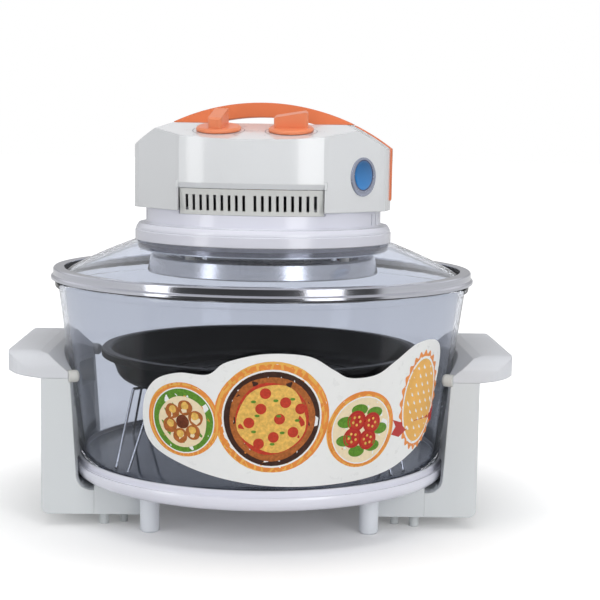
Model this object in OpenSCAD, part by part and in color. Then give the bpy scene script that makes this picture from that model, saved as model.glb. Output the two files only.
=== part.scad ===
// Halogen oven: a glass bowl on a plastic stand, a wire rack with a baking pan,
// and a lift-off glass lid that carries the heater, the fan and the controls.
// Millimetres, +Z up. The origin is on the table under the bowl's axis, and the
// front of the stand faces -Y. Heights are counted from the table.

/* [Stand] */
// Height of the four legs, which is the underside of the dish
leg_h = 34; // [26:1:50]
// Diameter of a leg
leg_d = 15.6; // [12:0.2:20]
// Distance from a leg's axis to both centre planes
leg_offset = 88; // [78:1:92]
// Height of the dish, from its underside to the top of its lip
dish_h = 16.5; // [15:0.5:20]
// Wall of the dish
dish_wall = 2.6; // [2:0.1:3.2]
// Distance from the bowl's wall, under its rim, to the outer face of a side post
post_gap = 5; // [3.5:0.5:14]
// Half of the depth of a side post, front to back
post_half_d = 77; // [60:1:84]
// Wall of the side posts
post_wall = 3; // [2:0.1:3.5]
// Height of the seam between post and grip
grip_seam_z = 121; // [110:1:126]
// Highest point of a grip
grip_top_z = 142.5; // [138:0.5:150]
// How far a grip reaches out past the post's outer face
grip_reach = 32.5; // [26:0.5:42]
// Wall of the grips
grip_wall = 2.6; // [2:0.1:3.5]
// Diameter of the bumpers that centre the bowl
bumper_d = 10; // [8:0.2:12]

/* [Bowl] */
// Outer radius of the bowl's wall just under the rim
bowl_top_r = 171.5; // [169:0.5:172]
// Lean of the bowl's wall from upright, in degrees
bowl_tilt = 7.3; // [6.5:0.1:8]
// Radius of the corner between the wall and the floor, outside
bowl_corner_r = 16; // [13:0.5:20]
// Thickness of the bowl's glass
bowl_glass = 4.6; // [3.5:0.1:5.5]
// Height of the top of the bowl's rim
bowl_rim_z = 195.4; // [185:0.2:205]
// Height of the rim bead
bowl_bead_h = 5.2; // [4:0.2:8]
// How far the rim bead stands out from the wall
bowl_bead_w = 3; // [2:0.1:3.2]

/* [Rack and pan] */
// Diameter of the rack's wire
wire_d = 2.4; // [2:0.1:3.4]
// Height of the rack's ring above the bowl's floor
rack_h = 64; // [50:1:75]
// Width of one of the rack's legs at its feet, between its two wires
rack_leg_w = 19; // [12:1:26]
// Number of the rack's cross wires
rack_bars = 7; // [3:2:11]
// Gap between the pan's rim and the bowl's inner wall
pan_gap = 24.4; // [18:0.2:34]
// Depth of the pan, outside
pan_h = 27; // [20:1:34]
// Sheet thickness of the pan
pan_sheet = 1.5; // [1:0.1:2.5]

/* [Lid] */
// Angle that the lid is turned on the bowl, seen from above, in degrees
lid_turn = -6.6; // [-15:0.1:15]
// Height of the lid's steel rim
rim_h = 9.2; // [8.8:0.1:11]
// How far the steel rim reaches out past the bowl's wall, under its bead
rim_over = 4.5; // [4:0.1:6.5]
// Thickness of the lid's glass, measured upright
lid_glass_t = 4.2; // [3.6:0.1:4.6]
// Slope of the lid's glass, rise over run
lid_slope = 0.434; // [0.38:0.002:0.48]

/* [Head] */
// How far the ring that sits on the glass stands out from the neck
seat_ring_w = 9; // [7:0.5:11]
// Outer radius of the head's round neck
neck_r = 99; // [98.5:0.1:100]
// Height of the neck, from the ring's foot to the cover
neck_h = 27.8; // [25:0.1:31]
// How far the cover's sides stand out from the neck
cover_over = 8; // [6:0.5:9]
// How far the front of the control face stands out from the neck
face_over = 4; // [2:0.5:5.5]
// Height of the cover, from its lower edge to its flat top
cover_h = 69.5; // [66:0.5:76]
// Wall of the cover
cover_wall = 2.6; // [2:0.1:3]
// Slope of the control panel, in degrees
panel_tilt = 11; // [6:0.5:14]
// Number of vent slots in each half of the vent panel
slots = 9; // [5:1:9]
// Distance from one vent slot to the next
slot_pitch = 5.8; // [5:0.1:6]
// Width of a vent slot
slot_w = 2.3; // [1.5:0.1:3.2]
// Distance between the two knobs' axes
knob_spacing = 58; // [50:1:62]
// Diameter of a knob's disc
knob_d = 36; // [28:1:40]
// Height of a knob's fin above its disc
knob_fin_h = 12; // [9:0.5:16]

/* [Carry handle] */
// Highest point of the handle above the cover's flat top
handle_rise = 17.6; // [15:0.2:22]
// Radius of the arch that the handle's top follows
handle_arc_r = 178; // [168:1:190]
// Thickness of the handle at its middle
handle_t = 12; // [9:0.2:12.6]
// Width of the handle and of the trim strips, front to back
handle_w = 26; // [20:1:32]
// Travel of the handle between its stops
handle_travel = 6; // [4:0.5:8]

/* [Heater and fan] */
// How far the guard ring's lower edge lies inside the neck's outer face
guard_in = 1.5; // [1:0.5:5]
// Height of the guard ring
guard_h = 14; // [12:0.5:16]
// Distance from the guard ring's lower edge to the middle of the lamp's tube
lamp_in = 23.5; // [21:0.5:27]
// Diameter of the lamp's tube
lamp_d = 10; // [8:0.5:11]
// Distance from the tips of the hot-air fan to the middle of the lamp's tube
fan_in = 16; // [12:1:30]
// Outer radius of the cooling fan
cool_fan_r = 37; // [28:1:38]
// Number of blades on each fan
blades = 8; // [5:1:9]
// Radius of the motor's shaft
shaft_r = 2.5; // [2:0.1:3]

/* [Hidden] */
$fn = 96;

// Clearances and small amounts
eps = 0.01;          // overlap that makes a cut go right through
seat = 0.3;          // gap between a piece and the body that it rests on
run = 0.05;          // radial clearance of a running fit
cut = 300;           // a length that reaches past everything it cuts

// Bowl: its wall is a line that leans outward, tangent to the corner
bowl_floor_z = leg_h + 7.3;              // underside of the bowl
bead_z = bowl_rim_z - bowl_bead_h;
corner_z = bowl_floor_z + bowl_corner_r;
corner_x = bowl_top_r - bowl_corner_r * cos(bowl_tilt)
    - (bead_z - corner_z + bowl_corner_r * sin(bowl_tilt)) * tan(bowl_tilt);
bowl_inner_floor_z = bowl_floor_z + bowl_glass;
function bowl_r(z) = bowl_top_r - (bead_z - z) * tan(bowl_tilt);

// Stand
dish_lip_z = leg_h + dish_h;
dish_lip_w = 2.2;
dish_gap = 0.35;                         // between the lip and the line of the bowl's wall
dish_lip_r = bowl_r(dish_lip_z) + dish_gap + dish_lip_w;
dish_belly_r = dish_lip_r + 4;
dish_foot_r = dish_lip_r - 8;
dish_seam_r = dish_lip_r - 20;           // where the flat base meets the ring round it
plate_t = 0.8;                           // heat plate's sheet
plate_gap = 0.4;                         // between the heat plate and the bowl
dish_ribs = [60, 122];
dish_rib_w = 2.4;
post_x = bowl_top_r + post_gap;          // outer face of a side post
post_clear = 2.5;                        // between a post and the bowl or the dish
post_bottom_z = leg_h - 24;
post_corner_r = 6;
post_cut_r = 12;                         // corner of the cut-out round the dish
post_lean = 4.7;                         // how far the post's inner edge leans out, up to the grip
foot_seam_w = 42.5;                      // from the post's outer face to its seam with the foot
foot_w = 84;                             // from the post's outer face to the foot's inner end
foot_seam_x = post_x - foot_seam_w;
foot_inner_x = post_x - foot_w;
post_edge_x = foot_seam_x + 2.5 + post_cut_r;          // inner edge of a post, just over the dish
pegs = [[foot_seam_x - 7, post_half_d - 11, 4], [foot_seam_x - 22.5, post_half_d - 17, 3.25]];
pocket_w = 38;                           // recesses in a post, towards the bowl
pocket_pitch = 44;
pocket_h = 22;
pocket_drop = 4;                         // from the seam down to the recesses
grip_x = post_x + grip_reach;
grip_edge_r = 8;                         // round of the grip's outer edge
grip_corner_r = 22;                      // its corners seen from above
grip_end_r = 14;                         // its ends seen from the side
grip_bow_r = 430;                        // bow of its outer face
bumper_z = grip_seam_z + 1.5;
bumper_len = 9;
bumper_tip_r = bowl_r(bumper_z) + 2 * seat;
bumper_angle = asin((post_half_d - 2) / (bumper_tip_r + bumper_len));
screw_r = 2;
screw_head_r = 3.8;
screw_head_h = 2.4;
boss_r = 5;
boss_y = post_half_d - 40;
stand_bosses = [[foot_inner_x + 9, boss_y], [foot_seam_x - 12, boss_y]];

// Rack and pan
wire_r = wire_d / 2;
rack_floor_z = bowl_inner_floor_z + seat;
rack_z = bowl_inner_floor_z + rack_h;
pan_z = rack_z + wire_r + seat;
pan_rim_z = pan_z + pan_h;
pan_rim_r = bowl_r(pan_rim_z) - bowl_glass - pan_gap;
rack_ring_r = pan_rim_r - 32;
rack_foot_r = corner_x - 1.5;            // the feet stand at the edge of the bowl's flat floor
rack_legs = [36, 144, 216, 324];
pan_rim_w = 7;
pan_lip_h = 6;
pan_corner_r = 11;
pan_wall_r = pan_rim_r - pan_rim_w;      // outer radius of the pan's wall at the top
pan_base_r = pan_wall_r - 5;             // the same where the corner begins

// Lid
gasket_foot_z = bowl_rim_z + seat;
rim_foot_z = bowl_rim_z + 1.9;
rim_top_z = rim_foot_z + rim_h;
rim_sheet = 0.9;
rim_flange_w = 9;
rim_flare = 1.8;
rim_r = bowl_top_r + rim_over;
lid_hole_r = neck_r + 1;
glass_edge_r = rim_r - 4;
glass_rim_r = rim_r - 11;
glass_rim_z = rim_foot_z + 2.3;          // underside of the glass's flat edge
glass_bulge = 1.2;
function lid_z(r) = glass_rim_z + lid_glass_t + (glass_rim_r - r) * lid_slope
    + glass_bulge * sin(180 * (glass_rim_r - r) / (glass_rim_r - lid_hole_r));
gasket_lip = 1.6;

// Head
seat_ring_r = neck_r + seat_ring_w;
cover_r = neck_r + cover_over;           // the cover's widest place, at its sides
cover_front = neck_r + face_over;
seat_ring_z = lid_z(seat_ring_r) + 0.4;  // foot of the ring
ring_h = 14.2;
groove_z = seat_ring_z + 9;
collar_r = neck_r - 0.8;                 // the collar goes through the hole in the glass
collar_z = lid_z(lid_hole_r) - 10;
neck_wall = 2.4;
cover_z = seat_ring_z + neck_h;          // lower edge of the cover
cover_top_z = cover_z + cover_h;
gland_r = 4.4;
gland_z = cover_z - 7;
head_floor_z = seat_ring_z + 7.2;
head_floor_t = 2.4;
front_arc_r = 130;
front_arc_y = front_arc_r - cover_front;
face_half_w = 57;
face_step = 3.5;
diag = [face_half_w + face_step, cover_front - 17.5];  // where a slanting side begins
corner = diag + [38.3, -43.3];           // where it ends at the cover's side
bevel = corner + [3.4, -5];
side_arc_r = 175;                        // bow of the cover's sides
panel_back_y = -37;                      // where the sloping panel meets the flat top
ridge_step = 0.7;                        // steps beside the trim strips
ridge_pitch = 7;
vent_h = 18;
vent_drop = 2.6;                         // from the cover's edge down to the vent panel's foot
slot_h = 12.3;
vent_sink = 5;                           // how far the vent panel leans back at its foot
vent_t = 2.4;
ledge_h = 4.4;
well_x = 46;                             // finger well under the handle
well_y = 28;
well_floor_z = cover_top_z - 18;
arc_z = cover_top_z + handle_rise - handle_arc_r;      // centre of the handle's arch
shoulder_r = handle_arc_r - 1;
trim_t = 1.8;
trim_proud = 0.8;
trim_foot_z = cover_z + 8;
handle_end_x = 75;
handle_under_r = 178;
stem_x = 62;
stem_r = 4;
stem_foot_z = cover_top_z - 23.6;
clip_t = 1.6;
clip_r = stem_r + 1.6;
bush_r = 7.5;
bush_h = 8;
switch_size = [20, 12, 11];
plunger_r = 1.6;
slot_angles = [for (i = [0:7]) 70 + 5.5 * i];

// Controls: the local frame lies on the panel at a knob's axis, +Z out of it
knob_y = -68;
knob_x = knob_spacing / 2;
knob_z = cover_top_z + (knob_y - panel_back_y) * tan(panel_tilt);
knob_gap = 0.4;
knob_disc_t = 3.4;
fin_l = 27;
fin_w = 11;
knob_bore = 10.5;                        // depth of the knob's bore from the panel
control_shaft_r = 3;
unit_size = [40, 38, 27];
unit_collar_r = 6;

// Heater and fan
guard_r = neck_r - guard_in;             // guard ring at its lower edge
guard_sheet = 1;
guard_taper = 3;
lamp_r = guard_r - lamp_in;
hot_fan_r = lamp_r - fan_in;
reflector_t = 1;
reflector_z = collar_z - reflector_t;
reflector_dish = 3.2;
standoff_h = 4.3;
guard_top_z = reflector_z - standoff_h;
guard_z = guard_top_z - guard_h;
standoff_angles = [-35, 55, 145, 235];
standoff_r = 4;
standoff_circle = guard_r - guard_taper - 6.5;
sensor_angle = 35;
sensor_circle = guard_r - 13;
sensor_r = 2.5;
lamp_z = guard_z + 7.6;
lamp_gap = 10;                           // half of the opening in the lamp's ring, degrees
holder_r = 7;
hot_fan_z = guard_z + 4.6;
hot_fan_h = 9;
mesh_wire_r = 1;
mesh_z = guard_z + 1.4;
mesh_rings = [for (k = [0.29, 0.47, 0.66, 0.83]) k * guard_r];
bracket_z = head_floor_z + head_floor_t;
stator_size = [58, 50, 18];
stator_z = bracket_z + 11;
rotor_r = 13;
air_gap = 0.5;
bearing_low_z = bracket_z + 4;
bearing_high_z = stator_z + stator_size[2] + 5;
bearing_t = 3;
cool_fan_z = bearing_high_z + bearing_t + 2.5;
cool_fan_h = 11;

// ---- helpers ----

function arc(cx, cy, r, a0, a1, n = 8) =
    [for (i = [0:n]) [cx + r * cos(a0 + (a1 - a0) * i / n), cy + r * sin(a0 + (a1 - a0) * i / n)]];

// A ring with a rectangular section
module ring(r_in, r_out, z0, z1) {
    rotate_extrude() translate([r_in, z0]) square([r_out - r_in, z1 - z0]);
}

// A profile in X and Z, drawn out along Y from -d to +d
module along_y(d) {
    rotate([90, 0, 0]) linear_extrude(height = 2 * d, center = true) children();
}

// A rectangle with round corners, centred on x0..x1 and y0..y1
module round_rect(x0, x1, y0, y1, r) {
    polygon(concat(arc(x1 - r, y1 - r, r, 0, 90), arc(x0 + r, y1 - r, r, 90, 180),
        arc(x0 + r, y0 + r, r, 180, 270), arc(x1 - r, y0 + r, r, 270, 360)));
}

// A straight wire from a to b
module wire(a, b, r) {
    d = b - a;
    len = norm(d);
    translate(a) rotate([0, acos(d[2] / len), atan2(d[1], d[0])]) cylinder(r = r, h = len, $fn = 20);
}

module lid_frame() { rotate([0, 0, lid_turn]) children(); }

// The frame on the sloping panel at a knob's axis; side is -1 for left, 1 for right
module knob_frame(side) {
    lid_frame() translate([side * knob_x, knob_y, knob_z]) rotate([panel_tilt, 0, 0]) children();
}

module on_side(side) {
    if (side > 0) children();
    else mirror([1, 0, 0]) children();
}

// ---- stand ----

// A flat base with two rings of ribs under the heat plate
module base_dish() {
    color([0.89, 0.88, 0.93]) difference() {
        union() {
            translate([0, 0, leg_h]) cylinder(r = dish_seam_r - run, h = dish_wall, $fn = 180);
            for (r = dish_ribs)
                ring(r - dish_rib_w, r, leg_h + dish_wall - eps,
                    bowl_floor_z - plate_gap - plate_t);
        }
        for (side = [-1, 1], end = [-1, 1], b = stand_bosses)
            translate([side * b[0], end * b[1], leg_h - 1])
                cylinder(r = screw_r + run, h = 1 + dish_wall - 0.4);
    }
}

// The turned ring round the base, whose lip stands up round the bowl's foot
module dish_ring() {
    color([0.89, 0.88, 0.93]) rotate_extrude($fn = 180) polygon(concat(
        [[dish_seam_r, leg_h], [dish_foot_r, leg_h]],
        arc(dish_belly_r - 9, leg_h + 9, 9, -60, 20, 6),
        [[dish_lip_r + 0.6, dish_lip_z - 5.2], [dish_lip_r, dish_lip_z - 4.2],
         [dish_lip_r, dish_lip_z - 0.6], [dish_lip_r - 0.6, dish_lip_z],
         [dish_lip_r - dish_lip_w, dish_lip_z], [dish_lip_r - dish_lip_w, dish_lip_z - 3.5],
         [dish_lip_r - 4.4, dish_lip_z - 6.6], [dish_lip_r - 7.6, dish_lip_z - 9.2],
         [dish_lip_r - 13, dish_lip_z - 11.6], [dish_seam_r, leg_h + dish_wall]]));
}

module heat_plate() {
    r_in = bowl_corner_r + plate_gap;
    r_out = r_in + plate_t;
    color([0.44, 0.48, 0.53]) rotate_extrude() polygon(concat(
        [[0, corner_z - r_out]],
        arc(corner_x, corner_z, r_out, -90, -36, 6),
        arc(corner_x, corner_z, r_in, -36, -90, 6),
        [[0, corner_z - r_in]]));
}

module leg(sx, sy) {
    chamfer = 1.2;
    color([0.9, 0.9, 0.91]) translate([sx * leg_offset, sy * leg_offset, 0]) rotate_extrude()
        polygon([[0, 0], [leg_d / 2 - chamfer, 0], [leg_d / 2, chamfer],
            [leg_d / 2, leg_h], [0, leg_h]]);
}

// Room for the bowl and the dish inside the posts
module bowl_room() {
    rotate_extrude() polygon([[0, leg_h], [dish_belly_r + 1.5, leg_h],
        [dish_belly_r + 1.5, dish_lip_z + 3], [bowl_r(dish_lip_z + 3) + post_clear, dish_lip_z + 3],
        [bowl_r(grip_top_z + 10) + post_clear, grip_top_z + 10], [0, grip_top_z + 10]]);
}

// Room for a bumper in the corner of post and grip
module bumper_room(end) {
    translate([0, 0, bumper_z]) rotate([0, 90, end * bumper_angle])
        translate([0, 0, bumper_tip_r - 4]) cylinder(r = bumper_d / 2 + run, h = bumper_len + 4 + run);
}

module post_outline() {
    cut_x = post_edge_x - post_cut_r;
    polygon(concat(
        [[post_x, grip_seam_z], [post_x, post_bottom_z + post_corner_r]],
        arc(post_x - post_corner_r, post_bottom_z + post_corner_r, post_corner_r, 0, -90),
        [[foot_seam_x, post_bottom_z], [foot_seam_x, leg_h - 4]],
        arc(cut_x, leg_h - 4 + post_cut_r, post_cut_r, -90, 0),
        [[post_edge_x + post_lean, grip_seam_z]]));
}

module post(side) {
    color([0.82, 0.83, 0.83]) on_side(side) difference() {
        along_y(post_half_d) post_outline();
        bowl_room();
        // recesses under the grip, open towards the bowl
        for (i = [-1:1])
            translate([post_edge_x - 5, i * pocket_pitch - pocket_w / 2,
                grip_seam_z - pocket_drop - pocket_h])
                cube([post_x - post_wall - post_edge_x + 5, pocket_w, pocket_h]);
        for (end = [-1, 1]) bumper_room(end);
    }
}

module post_foot(side) {
    top = leg_h;
    y_in = post_half_d - post_wall;
    color([0.83, 0.84, 0.84]) on_side(side) difference() {
        union() {
            difference() {
                translate([foot_inner_x, -post_half_d, post_bottom_z])
                    cube([foot_seam_x - foot_inner_x, 2 * post_half_d, top - post_bottom_z]);
                translate([foot_inner_x + post_wall, -y_in, post_bottom_z + post_wall])
                    cube([foot_seam_x - foot_inner_x - 2 * post_wall, 2 * y_in, top]);
            }
            for (end = [-1, 1]) {
                for (b = stand_bosses)
                    translate([b[0], end * b[1], post_bottom_z + 1])
                        cylinder(r = boss_r, h = top - post_bottom_z - 1);
                for (p = pegs)
                    translate([p[0], end * p[1], 0]) cylinder(r = p[2], h = post_bottom_z + 1);
            }
        }
        for (end = [-1, 1], b = stand_bosses) {
            translate([b[0], end * b[1], post_bottom_z - 1]) cylinder(r = screw_r + run, h = top);
            translate([b[0], end * b[1], post_bottom_z - 1])
                cylinder(r = screw_head_r + 0.4, h = screw_head_h + 2.6);
        }
    }
}

// The grip's section: a bevel towards the bowl, a flat top and a round outer edge
module grip_outline() {
    edge_x = post_edge_x + post_lean;
    top = grip_top_z;
    polygon(concat(
        [[edge_x, grip_seam_z], [edge_x + 0.8, grip_seam_z + 5], [edge_x + 18.3, top - 2.4],
         [post_x + 2, top - 0.4], [post_x + 9, top]],
        arc(grip_x - grip_edge_r, top - grip_edge_r, grip_edge_r, 90, 0, 6),
        [[grip_x, top - 10], [grip_x - 1.5, top - 13], [grip_x - 5, top - 15.5],
         [grip_x - 11, top - 18], [grip_x - 19, top - 19.6], [post_x, grip_seam_z]]));
}

// A block with the grip's round corners and bowed outer face, its faces set back by w
module grip_block(w) {
    y = post_half_d - w;
    intersection() {
        linear_extrude(height = cut) intersection() {
            round_rect(0, grip_x - w, -y, y, grip_corner_r - w);
            translate([grip_x - grip_bow_r, 0]) circle(r = grip_bow_r - w, $fn = 360);
        }
        rotate([90, 0, 90]) linear_extrude(height = cut)
            round_rect(-y, y, 0, grip_top_z - w, grip_end_r - w);
    }
}

module grip(side) {
    w = grip_wall;
    in_top = grip_top_z - w - 0.4;
    in_x = grip_x - w;
    color([0.85, 0.85, 0.87]) on_side(side) difference() {
        intersection() {
            along_y(post_half_d) grip_outline();
            grip_block(0);
        }
        // the part that stands out from the post is hollow from below
        intersection() {
            along_y(post_half_d) polygon([[post_x + w, 0], [post_x + w, in_top],
                [grip_x - grip_edge_r, in_top], [in_x, grip_top_z - grip_edge_r], [in_x, 0]]);
            grip_block(w);
        }
        bowl_room();
        for (end = [-1, 1]) bumper_room(end);
    }
}

module bumper(side, end) {
    r = bumper_d / 2;
    nose = 2.5;
    color([0.9, 0.9, 0.88]) on_side(side)
        translate([0, 0, bumper_z]) rotate([0, 90, end * bumper_angle])
            translate([0, 0, bumper_tip_r]) rotate_extrude() polygon(concat([[0, 0]],
                arc(r - nose, nose, nose, -90, 0, 4), [[r, bumper_len], [0, bumper_len]]));
}

module stand_screws() {
    head_z = post_bottom_z + 1.6;
    color([0.6, 0.6, 0.6]) for (side = [-1, 1], end = [-1, 1], b = stand_bosses)
        translate([side * b[0], end * b[1], head_z]) {
            difference() {
                cylinder(r = screw_head_r, h = screw_head_h, $fn = 32);
                for (a = [0, 90]) rotate([0, 0, a]) cube([4.4, 0.9, 2], center = true);
            }
            translate([0, 0, screw_head_h - eps])
                cylinder(r = screw_r, h = leg_h + dish_wall - 1 - head_z - screw_head_h, $fn = 32);
        }
}

// ---- bowl, rack and pan ----

module glass_bowl() {
    t = bowl_glass;
    bead_r = bowl_top_r + bowl_bead_w;
    top_in = bowl_r(bowl_rim_z) - t / cos(bowl_tilt);
    color([0.78, 0.82, 0.88, 0.35]) rotate_extrude() polygon(concat(
        [[0, bowl_floor_z]],
        arc(corner_x, corner_z, bowl_corner_r, -90, -bowl_tilt, 8),
        [[bowl_top_r, bead_z]],
        arc(bead_r - 1.5, bead_z + 1.5, 1.5, -90, 0, 3),
        arc(bead_r - 1.5, bowl_rim_z - 1.5, 1.5, 0, 90, 3),
        [[top_in + 1, bowl_rim_z], [top_in, bowl_rim_z - 1]],
        arc(corner_x, corner_z, bowl_corner_r - t, -bowl_tilt, -90, 8),
        [[0, bowl_inner_floor_z]]));
}

module wire_rack() {
    foot_r = wire_r + 0.4;
    foot_z = rack_floor_z + foot_r;
    leg_r = wire_r - 0.1;                // the ring is the thickest wire
    bar_r = wire_r - 0.2;
    knee_r = rack_ring_r + 14;
    half_foot = rack_leg_w / 2;
    half_top = half_foot + 5.5;
    span = 2 * rack_ring_r / (rack_bars + 1);
    color([0.75, 0.76, 0.78]) union() {
        rotate_extrude() translate([rack_ring_r, rack_z]) circle(r = wire_r, $fn = 20);
        for (i = [1:rack_bars]) {
            x = -rack_ring_r + i * span;
            y = sqrt(rack_ring_r * rack_ring_r - x * x);
            translate([x, -y, rack_z]) rotate([-90, 0, 0]) cylinder(r = bar_r, h = 2 * y, $fn = 20);
        }
        // each leg is a pair of wires that run out under the pan and lean in towards their feet
        for (a = rack_legs, s = [-1, 1]) rotate([0, 0, a]) {
            start = sqrt(rack_ring_r * rack_ring_r - half_top * half_top);
            wire([start, s * half_top, rack_z], [knee_r, s * half_top, rack_z], leg_r);
            wire([knee_r, s * half_top, rack_z], [rack_foot_r, s * half_foot, foot_z], leg_r);
            translate([knee_r, s * half_top, rack_z]) sphere(r = leg_r, $fn = 20);
            translate([rack_foot_r, s * half_foot, foot_z]) sphere(r = foot_r, $fn = 20);
        }
    }
}

module baking_pan() {
    s = pan_sheet;
    top = pan_rim_z;
    cr = pan_corner_r;
    c_x = pan_base_r - cr;
    rings = [35, 62, 88];
    color([0.11, 0.11, 0.12]) union() {
        rotate_extrude() polygon(concat(
            [[0, pan_z]],
            arc(c_x, pan_z + cr, cr, -90, -12, 6),
            [[pan_wall_r, top - pan_lip_h + 1], [pan_rim_r - 1.2, top - pan_lip_h + 1],
             [pan_rim_r, top - pan_lip_h], [pan_rim_r, top - 1.2], [pan_rim_r - 1.2, top],
             [pan_wall_r, top], [pan_wall_r - s, top - 1.5]],
            arc(c_x, pan_z + cr, cr - s, -12, -90, 6),
            [[0, pan_z + s]]));
        for (r = rings) ring(r - 1.6, r, pan_z + s - eps, pan_z + s + 0.5);
    }
}

// ---- lid: glass, rim and seals ----

module lid_glass() {
    n = 10;
    rs = [for (i = [0:n]) glass_rim_r - (glass_rim_r - lid_hole_r) * i / n];
    color([0.75, 0.79, 0.86, 0.35]) lid_frame() rotate_extrude() polygon(concat(
        [[glass_edge_r, glass_rim_z + 0.8], [glass_edge_r, glass_rim_z + lid_glass_t - 0.8],
         [glass_edge_r - 0.8, glass_rim_z + lid_glass_t]],
        [for (r = rs) [r, lid_z(r)]],
        [for (i = [0:n]) [rs[n - i], lid_z(rs[n - i]) - lid_glass_t]],
        [[glass_edge_r - 0.8, glass_rim_z]]));
}

module lid_rim() {
    s = rim_sheet;
    color([0.78, 0.79, 0.81]) lid_frame() rotate_extrude() polygon([
        [rim_r + rim_flare, rim_foot_z], [rim_r + rim_flare, rim_foot_z + 2],
        [rim_r, rim_foot_z + 3.4], [rim_r, rim_top_z - 1], [rim_r - 1, rim_top_z],
        [rim_r - rim_flange_w, rim_top_z], [rim_r - rim_flange_w, rim_top_z - s],
        [rim_r - s, rim_top_z - s], [rim_r - s, rim_foot_z + 3],
        [rim_r + rim_flare - s, rim_foot_z + 1.6], [rim_r + rim_flare - s, rim_foot_z]]);
}

// A channel of silicone round the edge of the glass, with a sealing lip under it
module lid_gasket() {
    out = rim_r - rim_sheet;
    color([0.2, 0.2, 0.21]) lid_frame() rotate_extrude() polygon([
        [out, rim_foot_z + 3], [out, rim_top_z - rim_sheet],
        [rim_r - rim_flange_w, rim_top_z - rim_sheet],
        [rim_r - rim_flange_w, glass_rim_z + lid_glass_t],
        [glass_edge_r - 0.8, glass_rim_z + lid_glass_t],
        [glass_edge_r, glass_rim_z + lid_glass_t - 0.8],
        [glass_edge_r, glass_rim_z + 0.8], [glass_edge_r - 0.8, glass_rim_z],
        [rim_r - rim_flange_w, glass_rim_z], [rim_r - rim_flange_w, rim_foot_z],
        [bowl_top_r - 2, rim_foot_z - gasket_lip + 0.3],
        [bowl_top_r - 1, gasket_foot_z], [bowl_top_r + 1, gasket_foot_z],
        [bowl_top_r + 2, rim_foot_z]]);
}

module retaining_ring() {
    r1 = lid_hole_r + 5.5;
    top = lid_z(r1) - lid_glass_t - 0.1;
    color([0.35, 0.35, 0.37]) lid_frame() rotate_extrude()
        polygon([[collar_r + 0.4, collar_z], [r1, collar_z], [r1, top], [r1 - 1.5, top],
            [collar_r + 0.4, collar_z + 2.4]]);
}

// ---- head: housing ----

module head_base() {
    color([0.89, 0.88, 0.93]) lid_frame() difference() {
        union() {
            // seat ring, neck and collar in one turned wall
            rotate_extrude() polygon([
                [collar_r, collar_z], [collar_r, lid_z(lid_hole_r) + 0.6],
                [lid_hole_r + 0.6, lid_z(lid_hole_r) + 0.6], [seat_ring_r - 1, seat_ring_z],
                [seat_ring_r, seat_ring_z + 0.8],
                [seat_ring_r, groove_z - 0.6], [seat_ring_r - 0.8, groove_z],
                [seat_ring_r - 0.6, groove_z + 0.6],
                [seat_ring_r - 1, seat_ring_z + ring_h - 3], [seat_ring_r - 3, seat_ring_z + ring_h],
                [neck_r + 1, seat_ring_z + ring_h], [neck_r, seat_ring_z + ring_h + 1.4],
                [neck_r, cover_z + 2.6], [neck_r - neck_wall, cover_z + 2.6],
                [neck_r - neck_wall, collar_z]]);
            ring(shaft_r + 4, neck_r - neck_wall + eps, head_floor_z, head_floor_z + head_floor_t);
            // deck that closes the cover from below
            difference() {
                translate([0, 0, cover_z + 0.2]) linear_extrude(height = 2.4) cover_plan(0.96);
                translate([0, 0, cover_z]) cylinder(r = neck_r - neck_wall, h = 10);
            }
        }
        // side slots
        for (s = [-1, 1], a = slot_angles)
            rotate([0, 0, s * a - 90]) translate([neck_r - 6, -0.9, seat_ring_z + ring_h + 2.2])
                cube([12, 1.8, neck_h - ring_h - 5]);
        // lamp leads, sensor and air holes in the floor
        for (s = [-1, 1])
            rotate([0, 0, 90 + s * lamp_gap]) translate([lamp_r, 0, head_floor_z - 1])
                cylinder(r = holder_r + 0.3, h = 5);
        rotate([0, 0, sensor_angle]) translate([sensor_circle, 0, head_floor_z - 1])
            cylinder(r = sensor_r + run, h = 5);
        for (a = [0:30:330])
            rotate([0, 0, a + 15]) translate([58, 0, head_floor_z - 1]) cylinder(r = 3.5, h = 5);
        // way out for the mains lead, at the back
        translate([0, neck_r - 10, gland_z]) rotate([-90, 0, 0]) cylinder(r = gland_r, h = 20);
        // room for the foot of the vent panel
        face_band(front_arc_r + 20, front_arc_r + 20, 20 + vent_sink + vent_t + 1.8,
            cover_z - vent_drop - 0.1, cover_z + 9, face_half_w + 1.2);
    }
}

// The cover seen from above: bowed sides, slanting corners, a bowed front face and back
module cover_plan(k) {
    // half of the outline, from the front corner to the back
    right = [[diag[0], -diag[1]], [corner[0], -corner[1]], [bevel[0], -bevel[1]],
        [cover_r + 1, -bevel[1] + 12], [cover_r + 1, bevel[1] - 12], bevel, corner, diag,
        [diag[0], cut]];
    n = len(right) - 1;
    scale([k, k]) union() {
        intersection() {
            translate([side_arc_r - cover_r, 0]) circle(r = side_arc_r, $fn = 360);
            translate([cover_r - side_arc_r, 0]) circle(r = side_arc_r, $fn = 360);
            translate([0, -front_arc_y]) circle(r = front_arc_r, $fn = 180);
            polygon(concat(right, [for (i = [0:n]) [-right[n - i][0], right[n - i][1]]]));
        }
        intersection() {
            translate([0, front_arc_y]) circle(r = front_arc_r, $fn = 180);
            polygon([[-face_half_w, -cut], [face_half_w, -cut],
                [face_half_w, -diag[1] - face_step - 1], [diag[0], -diag[1]], [diag[0], -diag[1] + 6],
                [-diag[0], -diag[1] + 6], [-diag[0], -diag[1]],
                [-face_half_w, -diag[1] - face_step - 1]]);
        }
    }
}

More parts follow.
